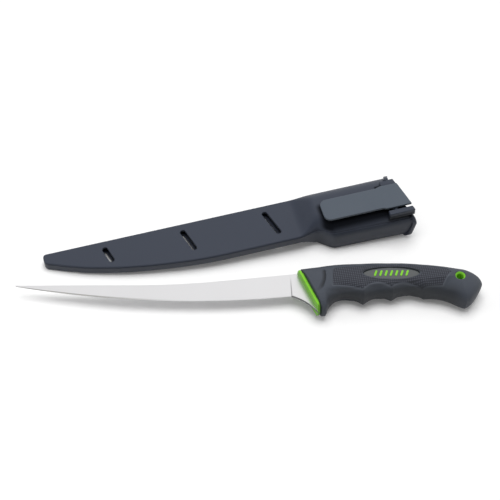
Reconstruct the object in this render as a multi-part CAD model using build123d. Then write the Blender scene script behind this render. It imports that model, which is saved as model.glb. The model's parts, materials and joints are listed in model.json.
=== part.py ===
from build123d import *
import os
from math import asin, cos, degrees, pi, radians, sin, sqrt, tan

# A fillet knife and its belt sheath, lying side by side on a table.
# Lengths are in millimetres, angles in degrees.

# Blade
blade_length = 200.0
blade_thickness = 2.0
heel_depth = 18.6
heel_setback = 6.3
edge_thickness = 0.4
tip_thickness = 0.9
tip_width = 0.8
spine_straight = 52.0
spine_rise_angle = 6.7
spine_bend_radius = 560.0
edge_sweep_power = 2.0
choil_sagitta = 1.9
choil_end_depth = 34.4
tang_length = 96.0
tang_front_width = 14.0
tang_rear_width = 9.0
tang_front_drop = 10.0
tang_rear_drop = 17.5
tang_hole_diameter = 5.0
tang_hole_shares = (0.3, 0.6, 0.88)
blade_section_count = 14

# Hard core moulded round the tang
collar_slant = 16.0
collar_thickness = 1.8
collar_height = 36.2
collar_width = 15.0
collar_end_bulge = 2.2
collar_corner_radius = 2.4
collar_top_rise = 0.3
collar_rim_radius = 0.6
core_gap = 1.0
neck_inset = 2.2
core_width = 12.0
core_front_height = 17.0
core_rear_height = 13.0
core_front_drop = 10.5
core_rear_drop = 19.8
core_edge_radius = 2.0

# Soft grip moulded over the core
grip_length = 129.1
grip_front_top = 1.8
grip_top_start = 14.0
grip_top_fall = 15.5
grip_top_fall_at = 121.0
grip_top_power = 2.2
grip_thickness = 21.4
grip_roundness = 2.8
guard_tip_at = 13.0
guard_tip_drop = 35.4
guard_foot_at = 14.6
guard_foot_end = 18.2
finger_ridge_places = (43.5, 64.0, 87.0)
finger_ridge_drops = (28.6, 27.4, 28.4)
finger_groove_depths = (8.8, 2.7, 3.3)
butt_heel_at = 114.0
butt_heel_drop = 41.3
butt_hollow_depth = 2.4
butt_cap_at = 115.0
butt_tip_drop = 24.5
butt_top_power = 2.0
butt_heel_power = 1.2
thickness_station_shares = (0.0, 0.1, 0.2, 0.8, 0.9, 1.0)
thickness_shares = (0.87, 0.975, 1.0, 1.0, 0.965, 0.9)
groove_section_shares = (0.0, 0.14, 0.32, 0.5, 0.68, 0.86)
cap_section_shares = (0.0, 0.25, 0.5, 0.7, 0.84, 0.93, 0.98, 0.998)
grip_outline_points = 28

# Badge windows, bare but for a row of leaning ribs
badge_length = 40.0
badge_height = 10.5
badge_centre_at = 65.0
badge_centre_drop = 13.6
badge_tilt = 6.0
badge_recess = 1.2
badge_plate_thickness = 1.2
badge_plate_clearance = 0.15
badge_seat_inset = 1.5
rib_count = 7
rib_pitch = 3.7
rib_width = 1.5
rib_height = 5.2
rib_lean = 20.0
rib_stand = 0.4
rib_clearance = 0.1

# Lanyard hole
lanyard_at = 112.9
lanyard_drop = 21.2
lanyard_hole_diameter = 4.8
lanyard_ring_diameter = 7.2
lanyard_ring_recess = 0.9

# Sheath body, along its own axis from the tip to the mouth
sheath_length = 270.8
sheath_blade_thickness = 7.6
sheath_far_edge = 1.7
sheath_blade_near_edge = 34.3
sheath_blade_end = 184.0
sheath_side_wall = 2.0
sheath_edge_radius = 0.9
nose_width = 8.2
nose_radius = 2.6
belly_run = 130.0
belly_station_shares = (0.24, 0.57)
belly_depth_shares = (0.455, 0.815)
belly_point_count = 14
pocket_thickness = 3.8
parting_height = 2.8
mouth_parting_height = 5.8
spigot_clearance = 0.15
spigot_end = 190.0
mouth_thickness = 25.0
mouth_wall = 1.4
mouth_top_radius = 12.0
mouth_bottom_radius = 3.0
mouth_near_edge = 42.2
shoulder_near_edge = 40.6
waist_near_edge = 32.7
waist_at = 197.0
shoulder_at = 211.0
mouth_slant = 10.0
mouth_bow_radius = 18.0
swell_end = 202.0
swell_section_shares = (0.0, 0.12, 0.25, 0.38, 0.5, 0.62, 0.75, 0.88, 1.0)
rim_width = 3.2
rim_stand = 1.3
rim_slant_run = 18.0
drain_width = 3.6
drain_height = 4.6
drain_depth = 3.2

# Slots through both shells
slot_width = 3.6
slot_lean = 17.3
slot_top_inset = 6.6
slot_lengths = (13.5, 19.6, 22.0)
slot_station_shares = (0.1645, 0.379, 0.608)

# Belt clip and its pin
clip_thickness = 1.8
clip_gap = 2.8
clip_free_end = 203.6
clip_tongue_width = 19.2
clip_root_width = 21.4
clip_root_at = 250.6
clip_flare_length = 4.0
clip_end_at = 268.2
clip_end_slant = 12.0
clip_near_edge = 36.2
clip_corner_radius = 5.2
clip_bead_length = 4.4
clip_bead_clearance = 0.3
clip_pin_at = 256.3
clip_pin_rise = 2.0
clip_pin_diameter = 1.6
clip_pin_clearance = 0.06
clip_knuckle_radius = 1.7
pin_head_radius = 1.9
pin_head_height = 1.2
lug_rise = 3.4
near_lug_clearance = 1.4
near_lug_width = 4.1
near_lug_start = 250.2
near_lug_depth = 5.6
near_lug_root_width = 2.2
far_lug_clearance = 0.5
far_lug_width = 5.2
far_lug_start = 252.0
far_lug_depth = 4.6
lug_root_depth = 8.0
lug_edge_radius = 0.6

# Where the two things lie on the table
knife_turn = 6.7
knife_place = (33.6, -30.7)
sheath_turn = 14.1
sheath_place = (-150.5, -11.9)

# One overrun serves every cut
overrun = 4.0

grip_half = grip_thickness / 2
slant_run = tan(radians(collar_slant))
sheath_half = sheath_blade_thickness / 2
mouth_half = mouth_thickness / 2


def between(value, places, values):
    """Value of a table at a place, on straight lines between its entries."""
    if value <= places[0]:
        return values[0]
    for left, right, low, high in zip(places, places[1:], values, values[1:]):
        if value <= right:
            return low + (high - low) * (value - left) / (right - left)
    return values[-1]


def smooth_step(share):
    share = min(max(share, 0.0), 1.0)
    return (1 - cos(pi * share)) / 2


# Blade


def spine_line(back):
    """Height of the spine at a distance in front of the collar."""
    rise = radians(spine_rise_angle)
    bend = spine_bend_radius * sin(rise)
    if back <= spine_straight:
        return 0.0
    if back <= spine_straight + bend:
        run = back - spine_straight
        return spine_bend_radius - sqrt(spine_bend_radius**2 - run**2)
    bend_rise = spine_bend_radius * (1 - cos(rise))
    return bend_rise + (back - spine_straight - bend) * tan(rise)


def edge_line(back):
    """Height of the cutting edge at a distance in front of the collar."""
    share = (back - heel_setback) / (blade_length - heel_setback)
    rise = heel_depth + spine_line(blade_length) - tip_width
    return rise * share**edge_sweep_power - heel_depth


def blade_section(share):
    """Wedge section of the ground blade, from heel (0) to tip (1)."""
    back = heel_setback + (blade_length - heel_setback) * share
    spine_half = (blade_thickness + (tip_thickness - blade_thickness) * share) / 2
    edge_half = edge_thickness / 2
    top, bottom = spine_line(back), edge_line(back)
    corners = [(top, spine_half), (top, -spine_half), (bottom, -edge_half), (bottom, edge_half)]
    return Wire.make_polygon([(-back, y, z) for y, z in corners], close=True)


def make_blade():
    shares = [number / (blade_section_count - 1) for number in range(blade_section_count)]
    ground = Solid.make_loft([blade_section(share) for share in shares], ruled=True)
    heel = Vector(-heel_setback, -heel_depth)
    choil_end = Vector(choil_end_depth * slant_run, -choil_end_depth)
    chord = choil_end - heel
    outward = Vector(-chord.Y, chord.X).normalized()
    middle = (heel + choil_end) / 2 + outward * choil_sagitta
    ricasso = make_face(
        [
            Line((-heel_setback, 0), (0, 0)),
            Line((0, 0), choil_end),
            ThreePointArc(choil_end, middle, heel),
            Line(heel, (-heel_setback, 0)),
        ]
    )
    front, rear = tang_front_width / 2, tang_rear_width / 2
    tang = make_face(
        Polyline(
            (0, front - tang_front_drop),
            (tang_length, rear - tang_rear_drop),
            (tang_length, -rear - tang_rear_drop),
            (0, -front - tang_front_drop),
            close=True,
        )
    )
    plate = ricasso + tang
    for share in tang_hole_shares:
        drop = tang_front_drop + (tang_rear_drop - tang_front_drop) * share
        plate -= Pos(tang_length * share, -drop) * Circle(tang_hole_diameter / 2)
    return ground + extrude(plate, blade_thickness / 2, both=True)


# Grip


def grip_top(along):
    """Top line of the handle at a place behind the collar."""
    run = max(along - grip_top_start, 0.0) / (grip_top_fall_at - grip_top_start)
    return grip_front_top - grip_top_fall * run**grip_top_power


def grip_bottom(along):
    """Underside of the handle, with its finger grooves."""
    places = (guard_tip_at, *finger_ridge_places, butt_heel_at)
    drops = (guard_tip_drop, *finger_ridge_drops, butt_heel_drop)
    depths = (*finger_groove_depths, butt_hollow_depth)
    if along <= guard_tip_at:
        return -guard_tip_drop
    for left, right, low, high, depth in zip(places, places[1:], drops, drops[1:], depths):
        if along <= right:
            share = (along - left) / (right - left)
            groove = depth * sin(pi * share) - low - (high - low) * share
            foot = smooth_step((along - guard_foot_at) / (guard_foot_end - guard_foot_at))
            return groove * foot - guard_tip_drop * (1 - foot)
    return -butt_heel_drop


def grip_half_thickness(along):
    return grip_half * between(along / grip_length, thickness_station_shares, thickness_shares)


def cap_shrink(along, start, power):
    """Share of the section that is left as the butt rounds off."""
    share = (along - start) / (grip_length - start)
    return (1 - share**power) ** (1 / power)


def grip_section(along):
    """Rounded section of the handle at a place behind the collar."""
    top, bottom, half = grip_top(along), grip_bottom(along), grip_half_thickness(along)
    if along > butt_heel_at:
        shrink = cap_shrink(along, butt_heel_at, butt_heel_power)
        bottom = shrink * bottom - (1 - shrink) * butt_tip_drop
    if along > butt_cap_at:
        shrink = cap_shrink(along, butt_cap_at, butt_top_power)
        top = shrink * top - (1 - shrink) * butt_tip_drop
        half *= shrink
    centre, reach = (top + bottom) / 2, (top - bottom) / 2
    points = []
    for number in range(grip_outline_points):
        angle = 2 * pi * number / grip_outline_points
        across, up = cos(angle), sin(angle)
        sharpen = (abs(across) ** grip_roundness + abs(up) ** grip_roundness) ** (1 / grip_roundness)
        points.append((along, centre + reach * across / sharpen, half * up / sharpen))
    return Wire([Edge.make_spline(points, periodic=True)])


def grip_stations():
    """Places of the sections that the handle is lofted through behind its foot."""
    ridges = (guard_tip_at, *finger_ridge_places, butt_heel_at)
    places = [guard_foot_at, guard_foot_end]
    for left, right in zip(ridges, ridges[1:]):
        shares = [share for share in groove_section_shares if left + (right - left) * share > guard_foot_end]
        places += [left + (right - left) * share for share in shares]
    return places + [butt_heel_at + (grip_length - butt_heel_at) * share for share in cap_section_shares]


def slanted_cut(depth):
    """Everything in front of a plane that lies a depth behind the collar's face."""
    size = 2 * grip_length
    return Rot(0, 0, collar_slant) * Pos(depth - size / 2, 0, 0) * Box(size, size, size)


def collar_plate(inset, thickness):
    """Upright plate of the collar's section, with its front at the slanted plane."""
    reach, half = collar_height / 2 - inset, collar_width / 2 - inset
    shoulder = reach - collar_end_bulge
    plane = Plane(origin=(0, 0, 0), x_dir=(sin(radians(collar_slant)), -cos(radians(collar_slant)), 0),
                  z_dir=(cos(radians(collar_slant)), sin(radians(collar_slant)), 0))
    outline = make_face(
        [
            Line((-shoulder, half), (shoulder, half)),
            ThreePointArc((shoulder, half), (reach, 0), (shoulder, -half)),
            Line((shoulder, -half), (-shoulder, -half)),
            ThreePointArc((-shoulder, -half), (-reach, 0), (-shoulder, half)),
        ]
    )
    outline = fillet(outline.vertices(), collar_corner_radius)
    section = Pos(collar_height / 2 - collar_top_rise, 0) * outline
    return extrude(plane * section, thickness)


def badge_location(side):
    """Centre of a badge window on the blade's plane, facing to one side."""
    turn = Rot(0, 0, -badge_tilt)
    flip = Rot(0, 0, 0) if side > 0 else Rot(180, 0, 0)
    return Pos(badge_centre_at, -badge_centre_drop, 0) * turn * flip


def badge_floor():
    """Height of the badge plate's face over the blade's plane."""
    return grip_half_thickness(badge_centre_at) - badge_recess


def badge_disc(inset, low, high):
    ellipse = Ellipse(badge_length / 2 - inset, badge_height / 2 - inset)
    return extrude(Pos(0, 0, low) * ellipse, high - low)


def badge_ribs(growth, low, high):
    """The row of leaning ribs, grown all round by a clearance."""
    rib = SlotOverall(rib_height + 2 * growth, rib_width + 2 * growth)
    lean = Rot(0, 0, 90 - rib_lean)
    ribs = []
    for number in range(rib_count):
        place = (number - (rib_count - 1) / 2) * rib_pitch
        ribs.append(extrude(Pos(place, 0, low) * lean * rib, high - low))
    return ribs


def make_core(blade):
    neck_length = core_gap + collar_thickness
    core = collar_plate(0, collar_thickness)
    core = fillet(core.edges().filter_by(lambda edge: edge.length > collar_height / 2), collar_rim_radius)
    core += collar_plate(neck_inset, neck_length + overrun)
    front, rear = core_front_height / 2, core_rear_height / 2
    bar = make_face(
        Polyline(
            (0, front - core_front_drop),
            (lanyard_at, rear - core_rear_drop),
            (lanyard_at, -rear - core_rear_drop),
            (0, -front - core_front_drop),
            close=True,
        )
    )
    bar = extrude(bar, core_width / 2, both=True)
    bar = fillet(bar.edges().filter_by(lambda edge: edge.length > tang_length), core_edge_radius)
    core += bar - slanted_cut(collar_thickness)
    ring_reach = grip_half_thickness(lanyard_at) - lanyard_ring_recess
    ring_place = Pos(lanyard_at, -lanyard_drop, 0)
    core += ring_place * Cylinder(lanyard_ring_diameter / 2, 2 * ring_reach)
    core -= ring_place * Cylinder(lanyard_hole_diameter / 2, 2 * ring_reach + overrun)
    floor = badge_floor()
    for side in (1, -1):
        seat = badge_disc(badge_seat_inset, 0, floor - badge_plate_thickness)
        core += badge_location(side) * seat
        for rib in badge_ribs(0, floor - badge_plate_thickness - rib_stand, floor + rib_stand):
            core += badge_location(side) * rib
    return core - blade


def make_grip(core, blade):
    guard = Solid.make_loft([grip_section(0), grip_section(guard_foot_at)], ruled=True)
    body = guard + Solid.make_loft([grip_section(place) for place in grip_stations()])
    body -= slanted_cut(core_gap + collar_thickness)
    floor = badge_floor()
    for side in (1, -1):
        window = badge_disc(0, floor - badge_plate_thickness, grip_thickness)
        body -= badge_location(side) * window
    hole = Cylinder(lanyard_ring_diameter / 2, grip_thickness + overrun)
    body -= Pos(lanyard_at, -lanyard_drop, 0) * hole
    return body - core - blade


def make_badge_plate(side):
    floor = badge_floor()
    plate = badge_disc(badge_plate_clearance, floor - badge_plate_thickness, floor)
    for hole in badge_ribs(rib_clearance, floor - badge_plate_thickness - overrun, floor + overrun):
        plate -= hole
    return badge_location(side) * plate


# Sheath shells, in a frame with its origin at the tip on the blade's plane


def swell_share(along):
    """How far the flat part has swollen to the mouth part."""
    return smooth_step((along - sheath_blade_end) / (swell_end - sheath_blade_end))


def near_edge(along):
    """Distance of the near edge from the axis: flat part, waist, shoulder, mouth."""
    if along <= waist_at:
        share = (along - sheath_blade_end) / (waist_at - sheath_blade_end)
        return sheath_blade_near_edge + (waist_near_edge - sheath_blade_near_edge) * smooth_step(share)
    if along <= shoulder_at:
        share = (along - waist_at) / (shoulder_at - waist_at)
        return waist_near_edge + (shoulder_near_edge - waist_near_edge) * smooth_step(share)
    share = (along - shoulder_at) / (sheath_length - shoulder_at)
    return shoulder_near_edge + (mouth_near_edge - shoulder_near_edge) * share


def mouth_section(along, inset, growth=0.0):
    """Rounded section of the swollen part, or of its cavity when inset is 1."""
    swell = swell_share(along)
    side = inset * (sheath_side_wall + (mouth_wall - sheath_side_wall) * swell) - growth
    flat_half = pocket_thickness / 2 if inset else sheath_half
    full_half = mouth_half - inset * mouth_wall + growth
    half = flat_half + (full_half - flat_half) * swell
    left, right = -near_edge(along) + side, sheath_far_edge - side
    flat_radius = sheath_edge_radius / 2 if inset else sheath_edge_radius
    tops = flat_radius + (mouth_top_radius - inset * mouth_wall - flat_radius) * swell
    bottoms = flat_radius + (mouth_bottom_radius - inset * mouth_wall - flat_radius) * swell
    corners = [
        (right, half, tops, -1, -1),
        (left, half, tops, 1, -1),
        (left, -half, bottoms, 1, 1),
        (right, -half, bottoms, -1, 1),
    ]
    diagonal = 1 - sqrt(2) / 2
    rounds = []
    for number, (y, z, radius, inward, upward) in enumerate(corners):
        beside = (along, y + inward * radius, z)
        below = (along, y, z + upward * radius)
        middle = (along, y + inward * radius * diagonal, z + upward * radius * diagonal)
        first, last = (below, beside) if number % 2 == 0 else (beside, below)
        rounds.append((first, middle, last))
    edges = []
    for number, (first, middle, last) in enumerate(rounds):
        edges.append(Edge.make_three_point_arc(first, middle, last))
        edges.append(Edge.make_line(last, rounds[(number + 1) % 4][0]))
    return Wire(edges)


def mouth_solid(inset):
    """The swell and the mouth part, solid for inset 0 and the cavity for inset 1."""
    span = shoulder_at - sheath_blade_end
    places = [sheath_blade_end + span * share for share in swell_section_shares]
    swell = Solid.make_loft([mouth_section(place, inset) for place in places])
    ends = (shoulder_at, sheath_length + overrun)
    return swell + Solid.make_loft([mouth_section(place, inset) for place in ends], ruled=True)


def belly_points(inset):
    """Points along the curved near side of the flat part, drawn in by an inset."""
    depth = sheath_blade_near_edge - nose_width + sheath_far_edge
    nose = Vector(0, sheath_far_edge - nose_width)
    middle = [Vector(belly_run * along, nose.Y - depth * down)
              for along, down in zip(belly_station_shares, belly_depth_shares)]
    end = Vector(belly_run, -sheath_blade_near_edge)
    curve = Spline(nose, *middle, end, tangents=(middle[0] - nose, (1, 0)))
    points = []
    for number in range(belly_point_count):
        share = number / (belly_point_count - 1)
        tangent = curve.tangent_at(share)
        points.append(curve.position_at(share) + Vector(-tangent.Y, tangent.X) * inset)
    return points


def flat_outline(inset, end):
    """Plan of the flat part: straight far edge, blunt nose and curved belly."""
    points = belly_points(inset)
    start, near, far = points[0].X, points[-1].Y, sheath_far_edge - inset
    outline = make_face(
        [
            Line((start, far), points[0]),
            Spline(*points),
            Line(points[-1], (end, near)),
            Line((end, near), (end, far)),
            Line((end, far), (start, far)),
        ]
    )
    if inset == 0:
        outline = fillet(outline.vertices().sort_by(Axis.X)[:2], nose_radius)
    return outline & Pos(inset + end / 2, 0) * Rectangle(end, 2 * end)


def end_cut(near_at, slant, near_drop):
    """Everything past a leaning upright plane near the mouth."""
    size = 2 * sheath_length
    block = Pos(size / 2, 0, 0) * Box(size, size, size)
    return Pos(near_at, -near_drop, 0) * Rot(0, 0, slant) * block


def mouth_room(inset):
    """Everything behind the mouth's bowed end, or behind a line drawn in from it."""
    size = 2 * sheath_length
    barrel = Rot(90, 0, 0) * Cylinder(mouth_bow_radius, size)
    room = barrel + Pos(-size / 2, 0, 0) * Box(size, size, size)
    behind = Pos(-mouth_bow_radius - inset, 0, 0)
    return Pos(sheath_length, -mouth_near_edge, 0) * Rot(0, 0, mouth_slant) * behind * room


def slot_place(number):
    length = slot_lengths[number]
    lean = radians(slot_lean)
    along = sheath_length * slot_station_shares[number] + length * sin(lean) / 2
    across = sheath_far_edge - slot_top_inset - length * cos(lean) / 2
    return Pos(along, across, 0) * Rot(0, 0, slot_lean - 90)


def clip_pin_axis():
    """Place of the clip's pin, with its Z axis towards the far edge."""
    return Pos(clip_pin_at, -clip_near_edge, mouth_half + clip_pin_rise) * Rot(-90, 0, 0)


def lug_block(start, edge, width, depth):
    """Block of a lug from its top down, cut off in line with the clip's end."""
    length = sheath_length - start
    top = mouth_half + lug_rise
    lug = Pos(start + length / 2, edge + width / 2, top - depth / 2) * Box(length, width, depth)
    lug = fillet(lug.edges().filter_by(Axis.X).sort_by(Axis.Z)[-2:], lug_edge_radius)
    lug = fillet(lug.edges().filter_by(Axis.Z).sort_by(Axis.X)[:2], lug_edge_radius)
    return lug - end_cut(clip_end_at, clip_end_slant, clip_near_edge)


def near_lug_face():
    return -clip_near_edge - near_lug_clearance


def far_lug_face():
    return clip_root_width - clip_near_edge + far_lug_clearance


def make_lugs():
    """The two lugs that hold the clip's pin."""
    near = lug_block(near_lug_start, near_lug_face() - near_lug_width, near_lug_width, near_lug_depth)
    return near + lug_block(far_lug_start, far_lug_face(), far_lug_width, far_lug_depth)


def make_lug_roots():
    """What stands under the lugs, down into the mouth part."""
    depth = lug_rise + lug_root_depth
    edge = near_lug_face() - near_lug_root_width
    near = lug_block(near_lug_start, edge, near_lug_root_width, depth)
    return near + lug_block(far_lug_start, far_lug_face(), far_lug_width, depth)


def clip_bay():
    """Room above the mouth for the clip and its pin, which the rim leaves free."""
    start = near_lug_face() - near_lug_root_width
    end = far_lug_face() + far_lug_width + 2 * pin_head_height
    size = 2 * sheath_length
    return Pos(0, (start + end) / 2, mouth_half + size / 2) * Box(size, end - start, size)


def make_outside():
    """Outside of the whole sheath, solid, before it is parted and hollowed."""
    flat = extrude(flat_outline(0, sheath_blade_end), sheath_half, both=True)
    rims = flat.edges().filter_by(lambda edge: abs(edge.center().Z) > sheath_half - sheath_edge_radius)
    rims = rims.filter_by(lambda edge: edge.center().X < sheath_blade_end - sheath_edge_radius)
    outside = fillet(rims, sheath_edge_radius) + mouth_solid(0)
    ends = (sheath_length - rim_slant_run, sheath_length + overrun)
    rim = Solid.make_loft([mouth_section(place, 0, rim_stand) for place in ends], ruled=True)
    outside += rim - mouth_room(rim_width) - clip_bay()
    outside += make_lug_roots()
    return (outside & mouth_room(0)) + make_lugs()


def parting_room(side):
    """Everything above (side 1) or below (side -1) the parting surface."""
    start, end, reach = -overrun, sheath_length + overrun, side * sheath_length
    bend, rise_end = (sheath_blade_end, parting_height), (shoulder_at, mouth_parting_height)
    outline = make_face(
        [
            Line((start, parting_height), bend),
            Spline(bend, rise_end, tangents=((1, 0), (1, 0))),
            Line(rise_end, (end, mouth_parting_height)),
            Line((end, mouth_parting_height), (end, reach)),
            Line((end, reach), (start, reach)),
            Line((start, reach), (start, parting_height)),
        ]
    )
    return extrude(Plane.XZ * outline, sheath_length, both=True)


def slab(outline, low, high):
    return extrude(Pos(0, 0, low) * outline, high - low)


def make_half(outside, side):
    """The cover (side 1) or the base (side -1), hollowed and with its openings."""
    half = outside & parting_room(side)
    pocket_half = pocket_thickness / 2
    if side > 0:
        spigot = flat_outline(sheath_side_wall + spigot_clearance, spigot_end - spigot_clearance)
        half += slab(spigot, pocket_half, (parting_height + sheath_half) / 2)
    else:
        pocket = flat_outline(sheath_side_wall, spigot_end)
        half -= slab(pocket, -pocket_half, parting_height + overrun)
    half -= mouth_solid(1)
    for number, length in enumerate(slot_lengths):
        slot = extrude(SlotOverall(length, slot_width), mouth_thickness, both=True)
        half -= slot_place(number) * slot
    if side < 0:
        drain = Box(2 * drain_depth, drain_width, drain_height + overrun)
        drain_middle = parting_height - (drain_height - overrun) / 2
        half -= Pos(0, sheath_far_edge - nose_width / 2, drain_middle) * drain
    bore = Cylinder(clip_pin_diameter / 2 + clip_pin_clearance, 2 * mouth_near_edge)
    return half - clip_pin_axis() * bore


def make_clip():
    """Springy plate with a knuckle on the pin and a bead at its free end."""
    middle = clip_root_width / 2 - clip_near_edge
    tongue, root = clip_tongue_width / 2, clip_root_width / 2
    plan = make_face(
        Polyline(
            (clip_free_end, middle - tongue),
            (clip_root_at - clip_flare_length, middle - tongue),
            (clip_root_at, middle - root),
            (sheath_length, middle - root),
            (sheath_length, middle + root),
            (clip_root_at, middle + root),
            (clip_root_at - clip_flare_length, middle + tongue),
            (clip_free_end, middle + tongue),
            close=True,
        )
    )
    plan = fillet(plan.vertices().sort_by(Axis.X)[:2], clip_corner_radius)
    underside = mouth_half + clip_gap
    clip = Pos(0, 0, underside) * extrude(plan, clip_thickness)
    bead_height = clip_gap - clip_bead_clearance
    bead_width = clip_tongue_width - 2 * clip_corner_radius
    bead = Box(clip_bead_length, bead_width, bead_height + clip_thickness)
    bead = fillet(bead.faces().sort_by(Axis.Z)[0].edges(), clip_bead_length / 3)
    bead_at = clip_free_end + clip_corner_radius
    bead_z = underside - bead_height + (bead_height + clip_thickness) / 2
    clip += Pos(bead_at, middle, bead_z) * bead
    knuckle = Pos(0, 0, clip_root_width / 2) * Cylinder(clip_knuckle_radius, clip_root_width)
    clip += clip_pin_axis() * knuckle
    web_height = clip_gap - clip_pin_rise + clip_thickness / 2
    web = Box(2 * clip_knuckle_radius, clip_root_width, web_height)
    clip += Pos(clip_pin_at, middle, mouth_half + clip_pin_rise + web_height / 2) * web
    bore = Cylinder(clip_pin_diameter / 2 + clip_pin_clearance, 2 * mouth_near_edge)
    clip -= clip_pin_axis() * bore
    return clip - end_cut(clip_end_at, clip_end_slant, clip_near_edge)


def make_pin():
    """Clip pin with a domed head on the far lug."""
    start = -near_lug_clearance - near_lug_width
    end = clip_root_width + far_lug_clearance + far_lug_width
    shaft = Pos(0, 0, (start + end) / 2) * Cylinder(clip_pin_diameter / 2, end - start)
    bulge = (pin_head_radius**2 + pin_head_height**2) / (2 * pin_head_height)
    dome = Pos(0, 0, end + pin_head_height - bulge) * Sphere(bulge)
    size = 4 * bulge
    dome &= Pos(0, 0, end + size / 2) * Box(size, size, size)
    return clip_pin_axis() * (shaft + dome)


def sheath_tilt():
    """Lean of the sheath as it rests on its tip and on its swollen part."""
    return degrees(asin((mouth_half - sheath_half) / (swell_end - nose_radius)))


def make_parts():
    """Every piece at its place, with the origin under the middle of the whole."""
    blade = make_blade()
    core = make_core(blade)
    knife = {
        "blade": blade,
        "handle_core": core,
        "grip": make_grip(core, blade),
        "badge_plate_right": make_badge_plate(1),
        "badge_plate_left": make_badge_plate(-1),
    }
    outside = make_outside()
    sheath = {
        "sheath_cover": make_half(outside, 1),
        "sheath_base": make_half(outside, -1),
        "clip_pin": make_pin(),
        "belt_clip": make_clip(),
    }
    lean = Rot(0, -sheath_tilt(), 0)
    lift = -(lean * sheath["sheath_base"]).bounding_box().min.Z
    knife_location = Pos(*knife_place, grip_half) * Rot(0, 0, knife_turn)
    sheath_location = Pos(*sheath_place, lift) * Rot(0, 0, sheath_turn) * lean
    placed = {name: knife_location * piece for name, piece in knife.items()}
    placed.update({name: sheath_location * piece for name, piece in sheath.items()})
    box = Compound(children=[piece.solid() for piece in placed.values()]).bounding_box()
    shift = Pos(-box.center().X, -box.center().Y, -box.min.Z)
    parts = {name: (shift * piece).solid() for name, piece in placed.items()}
    return parts, shift * knife_location, shift * sheath_location


def main():
    os.makedirs("parts", exist_ok=True)
    parts, knife_location, sheath_location = make_parts()
    for name, piece in parts.items():
        piece.label = name
        export_step(piece, f"parts/{name}.step")
    print("knife frame", knife_location)
    print("sheath frame", sheath_location)


main()
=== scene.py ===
import bmesh
import bpy
import json
import numpy as np
from math import asin, cos, pi, radians, sin, tan
from mathutils import Matrix, Vector

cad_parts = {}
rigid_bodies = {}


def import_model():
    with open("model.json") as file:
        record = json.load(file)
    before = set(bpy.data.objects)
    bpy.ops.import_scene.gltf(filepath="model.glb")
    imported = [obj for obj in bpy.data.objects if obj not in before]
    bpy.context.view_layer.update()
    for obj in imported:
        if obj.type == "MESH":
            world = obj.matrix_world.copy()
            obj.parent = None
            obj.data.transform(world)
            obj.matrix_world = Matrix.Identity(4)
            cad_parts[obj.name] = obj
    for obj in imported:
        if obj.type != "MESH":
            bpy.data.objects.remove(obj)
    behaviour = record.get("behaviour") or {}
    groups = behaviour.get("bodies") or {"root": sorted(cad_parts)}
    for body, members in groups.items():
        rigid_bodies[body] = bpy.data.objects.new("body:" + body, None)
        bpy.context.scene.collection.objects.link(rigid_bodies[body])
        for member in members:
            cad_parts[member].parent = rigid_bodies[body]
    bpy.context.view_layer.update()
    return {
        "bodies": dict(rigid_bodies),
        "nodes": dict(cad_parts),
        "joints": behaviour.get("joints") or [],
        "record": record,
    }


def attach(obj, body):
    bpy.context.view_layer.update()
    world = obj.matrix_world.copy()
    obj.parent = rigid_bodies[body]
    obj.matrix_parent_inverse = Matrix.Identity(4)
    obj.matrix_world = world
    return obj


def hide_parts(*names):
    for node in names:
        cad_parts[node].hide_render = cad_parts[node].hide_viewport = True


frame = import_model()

for standing in list(bpy.data.lights):
    bpy.data.lights.remove(standing)


# Table and studio. A white table top under one large softbox overhead and a
# small one at the left, in a white room that is lighter towards the back.
scene = bpy.context.scene
scene.view_settings.view_transform = "Standard"


class Wire:
    """A shader socket. Sums and products on it add their Math nodes."""

    def __init__(self, tree, socket):
        self.tree, self.socket = tree, socket

    def node(self, kind, settings=None, sockets=None, output=0):
        """Any node: its type, its settings, then the values or links of its sockets."""
        made = self.tree.nodes.new("ShaderNode" + kind)
        for name, value in (settings or {}).items():
            setattr(made, name, value)
        for name, value in (sockets or {}).items():
            self.put(made.inputs[name], value)
        return Wire(self.tree, made.outputs[output])

    def put(self, socket, value):
        if isinstance(value, Wire):
            self.tree.links.new(value.socket, socket)
        else:
            socket.default_value = value

    def maths(self, operation, first, second=0.0):
        return self.node("Math", {"operation": operation}, {0: first, 1: second})

    def __add__(self, other):
        return self.maths("ADD", self, other)

    def __radd__(self, other):
        return self.maths("ADD", other, self)

    def __sub__(self, other):
        return self.maths("SUBTRACT", self, other)

    def __rsub__(self, other):
        return self.maths("SUBTRACT", other, self)

    def __mul__(self, other):
        return self.maths("MULTIPLY", self, other)

    def __rmul__(self, other):
        return self.maths("MULTIPLY", other, self)

    def mix(self, low, high):
        """Colour between two colours, with this wire as the share of the second."""
        return self.node("Mix", {"data_type": "RGBA"}, {"Factor": self, 6: low, 7: high}, 2)

    def spot(self, frame=Matrix()):
        """Place on the piece in metres, along the axes of a frame."""
        where = self.node("TexCoord", output=3)
        return self.node("Mapping", {"vector_type": "TEXTURE"},
                         {"Vector": where, "Location": frame.translation, "Rotation": frame.to_euler()})

    def noise(self, scale, detail=3.0, stretch=(1, 1, 1), frame=Matrix()):
        """Noise with that many waves to the metre, squeezed along the axes of a frame."""
        where = self.node("VectorMath", {"operation": "MULTIPLY"}, {0: self.spot(frame), 1: stretch})
        return self.node("TexNoise", None, {"Vector": where, "Scale": scale, "Detail": detail})

    def part(self, axis):
        """One coordinate of a vector: 0 for x, 1 for y, 2 for z."""
        return self.node("SeparateXYZ", None, {"Vector": self}, axis)

    def step(self, low, high):
        """Smooth step from 0 to 1 as the wire goes from low to high."""
        return self.node("MapRange", {"interpolation_type": "SMOOTHSTEP"},
                         {"Value": self, "From Min": low, "From Max": high, "To Min": 0.0, "To Max": 1.0})

    def bump(self, height, strength, distance):
        return self.node("Bump", None, {"Strength": strength, "Distance": distance, "Height": height})


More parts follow.
